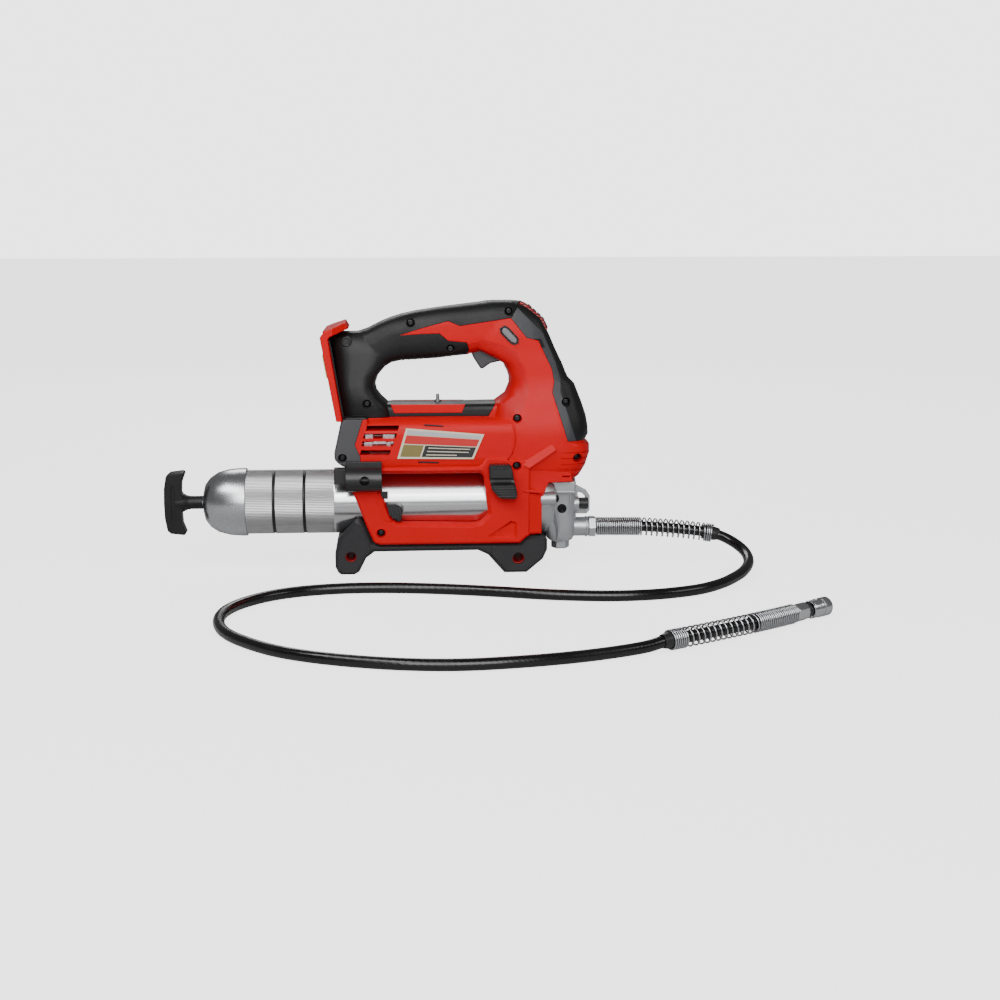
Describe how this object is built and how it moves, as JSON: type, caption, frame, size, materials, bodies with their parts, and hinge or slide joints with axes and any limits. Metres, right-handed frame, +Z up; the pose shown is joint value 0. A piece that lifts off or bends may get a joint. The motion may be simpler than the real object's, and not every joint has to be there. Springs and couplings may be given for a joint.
{
  "type": "cordless grease gun",
  "caption": "Battery grease gun: moulded body with closed grip over a sprung grease barrel, a motor driven plunger pump, a long whip hose with spring guards and a coupler.",
  "frame": {"origin": "middle of the front foot's bottom face, on the tool's centre plane", "axes": "+X along the barrel towards the outlet, +Y to the side away from the hose clips, +Z up"},
  "size_m": [0.5576, 0.3725, 0.2408],
  "materials": {
    "red_plastic": "moulded glass filled nylon, satin",
    "black_rubber": "soft overmould, fine grain",
    "grey_plastic": "moulded, fine grain",
    "cast_aluminium": "die cast",
    "bright_steel": "zinc plated or polished",
    "dark_steel": "black oxide",
    "hose_rubber": "glossy black cover",
    "gear_steel": "hardened, oiled",
    "board_green": "solder masked",
    "red_lens": "clear tinted",
    "seal_rubber": "oil resistant"
  },
  "bodies": {
    "body": {"housing_left": "red_plastic", "housing_right": "red_plastic", "grip_left": "black_rubber", "grip_right": "black_rubber", "front_bumper": "black_rubber", "motor_end_cap": "grey_plastic", "led_lens": "red_lens", "lower_boot": "black_rubber", "battery_receiver": "red_plastic", "terminal_block": "black_rubber", "rear_hose_clip": "black_rubber", "front_hose_clip": "black_rubber", "barrel_release_pad": "black_rubber", "label_plate": "grey_plastic", "barrel_seal": "seal_rubber", "follower_spring": "bright_steel", "motor_can": "bright_steel", "motor_brush_plate": "grey_plastic", "ring_gear": "gear_steel", "rear_bearing": "bright_steel", "front_bearing": "bright_steel", "pump_head": "cast_aluminium", "plunger_spring": "bright_steel", "check_spring": "bright_steel", "valve_cap": "bright_steel", "side_plug": "dark_steel", "trigger_switch": "grey_plastic", "trigger_spring": "bright_steel", "control_board": "board_green", "hose_nut": "bright_steel", "hose": "hose_rubber", "hose_spring_near": "bright_steel", "hose_spring_far": "bright_steel", "coupler_body": "bright_steel"},
    "barrel": {"barrel_tube": "bright_steel", "barrel_cap": "bright_steel"},
    "follower_rod": {"plunger_rod": "bright_steel", "t_handle": "black_rubber", "follower_piston": "seal_rubber"},
    "rotor": {"motor_rotor": "dark_steel", "sun_pinion": "gear_steel", "cooling_fan": "grey_plastic"},
    "carrier": {"planet_carrier": "gear_steel"},
    "planet_1": {"planet_gear_1": "gear_steel"},
    "planet_2": {"planet_gear_2": "gear_steel"},
    "planet_3": {"planet_gear_3": "gear_steel"},
    "plunger": {"pump_plunger": "bright_steel"},
    "check_valve": {"check_ball": "bright_steel"},
    "bleeder": {"bleed_valve": "black_rubber"},
    "trigger": {"trigger": "grey_plastic"},
    "lock": {"lock_button": "grey_plastic"},
    "coupler_collar": {"coupler_sleeve": "bright_steel"}
  },
  "joints": [
    {"name": "barrel_turn", "type": "hinge", "parent": "body", "child": "barrel", "pos_m": [-0.122, 0, 0.0613], "axis": [1, 0, 0], "continuous": true},
    {"name": "rod_slide", "type": "slide", "parent": "barrel", "child": "follower_rod", "axis": [-1, 0, 0], "range_m": [0, 0.19], "stiffness_N_per_m": 120, "springref_m": -0.02, "deforming": ["follower_spring"]},
    {"name": "rotor_spin", "type": "hinge", "parent": "body", "child": "rotor", "pos_m": [-0.122, 0, 0.116], "axis": [1, 0, 0], "continuous": true},
    {"name": "carrier_spin", "type": "hinge", "parent": "body", "child": "carrier", "pos_m": [-0.022, 0, 0.116], "axis": [1, 0, 0], "continuous": true},
    {"name": "planet_1_spin", "type": "hinge", "parent": "carrier", "child": "planet_1", "pos_m": [-0.0475, 0, 0.12725], "axis": [1, 0, 0], "continuous": true},
    {"name": "planet_2_spin", "type": "hinge", "parent": "carrier", "child": "planet_2", "pos_m": [-0.0475, -0.00974, 0.11038], "axis": [1, 0, 0], "continuous": true},
    {"name": "planet_3_spin", "type": "hinge", "parent": "carrier", "child": "planet_3", "pos_m": [-0.0475, 0.00974, 0.11038], "axis": [1, 0, 0], "continuous": true},
    {"name": "plunger_slide", "type": "slide", "parent": "body", "child": "plunger", "axis": [0, 0, 1], "range_m": [0, 0.0065], "deforming": ["plunger_spring"]},
    {"name": "check_valve_slide", "type": "slide", "parent": "body", "child": "check_valve", "axis": [0, 0, -1], "range_m": [0, 0.004], "stiffness_N_per_m": 400, "springref_m": -0.001, "deforming": ["check_spring"]},
    {"name": "bleed_turn", "type": "hinge", "parent": "body", "child": "bleeder", "pos_m": [0.063, -0.005, 0.0575], "axis": [1, 0, 0], "range_deg": [0, 360]},
    {"name": "trigger_pull", "type": "hinge", "parent": "body", "child": "trigger", "pos_m": [-0.013, 0, 0.199], "axis": [0, 1, 0], "range_deg": [0, 8], "stiffness_Nm_per_rad": 0.6, "springref_deg": -4.58, "deforming": ["trigger_spring"]},
    {"name": "lock_slide", "type": "slide", "parent": "body", "child": "lock", "axis": [0, 1, 0], "range_m": [-0.0015, 0.0015], "stiffness_N_per_m": 300},
    {"name": "collar_slide", "type": "slide", "parent": "body", "child": "coupler_collar", "axis": [-0.8192, -0.5736, 0], "range_m": [0, 0.0028], "stiffness_N_per_m": 300, "springref_m": -0.0005}
  ],
  "couplings": [
    {"joint": "carrier_spin", "follows": "rotor_spin", "ratio": 0.2},
    {"joint": "planet_1_spin", "follows": "rotor_spin", "ratio": -0.53333},
    {"joint": "planet_2_spin", "follows": "rotor_spin", "ratio": -0.53333},
    {"joint": "planet_3_spin", "follows": "rotor_spin", "ratio": -0.53333}
  ]
}
